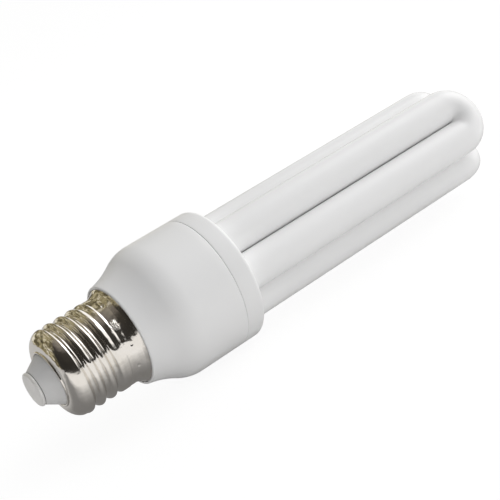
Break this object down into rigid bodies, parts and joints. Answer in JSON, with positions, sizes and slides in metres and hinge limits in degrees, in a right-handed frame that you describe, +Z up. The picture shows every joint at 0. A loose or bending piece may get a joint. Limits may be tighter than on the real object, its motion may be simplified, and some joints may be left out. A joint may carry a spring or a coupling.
{
  "type": "compact fluorescent lamp",
  "caption": "Compact fluorescent lamp with U-shaped white tubes, a white plastic ballast housing and a nickel Edison screw cap.",
  "frame": {"origin": "on the floor under the middle of the lamp, which lies on its side", "axes": "X along the lamp axis with the screw cap towards -X and the tubes towards +X, Z up"},
  "size_m": [0.1636, 0.0402, 0.0403],
  "materials": {
    "nickel": "polished",
    "insulator_grey": "matte",
    "contact_metal": "satin",
    "white_plastic": "satin",
    "coated_glass": "glossy",
    "cement": "matte",
    "board_resin": "matte",
    "can_sleeve": "satin",
    "ferrite": "matte",
    "bobbin_plastic": "matte",
    "copper_wire": "satin",
    "wire_sleeve": "satin",
    "case_black": "matte",
    "film_red": "glossy",
    "resistor_green": "matte",
    "tinned_wire": "satin"
  },
  "bodies": {
    "root": {"screw_shell": "nickel", "insulator": "insulator_grey", "centre_contact": "contact_metal", "ballast_housing": "white_plastic", "tube_holder": "white_plastic", "discharge_tube": "coated_glass", "tube_cement": "cement", "circuit_board": "board_resin", "smoothing_capacitor": "can_sleeve", "choke_core_near": "ferrite", "choke_core_far": "ferrite", "choke_bobbin": "bobbin_plastic", "choke_winding": "copper_wire", "drive_ring": "ferrite", "drive_winding": "copper_wire", "control_winding": "wire_sleeve", "transistor_left": "case_black", "transistor_right": "case_black", "film_capacitor": "film_red", "start_capacitor": "film_red", "fusible_resistor": "resistor_green", "live_lead_cap": "tinned_wire", "live_lead_board": "tinned_wire", "neutral_lead": "tinned_wire", "rectifier_diode_1": "case_black", "wrap_pin_1": "tinned_wire", "electrode_lead_1": "tinned_wire", "rectifier_diode_2": "case_black", "wrap_pin_2": "tinned_wire", "electrode_lead_2": "tinned_wire", "rectifier_diode_3": "case_black", "wrap_pin_3": "tinned_wire", "electrode_lead_3": "tinned_wire", "rectifier_diode_4": "case_black", "wrap_pin_4": "tinned_wire", "electrode_lead_4": "tinned_wire"}
  },
  "joints": []
}
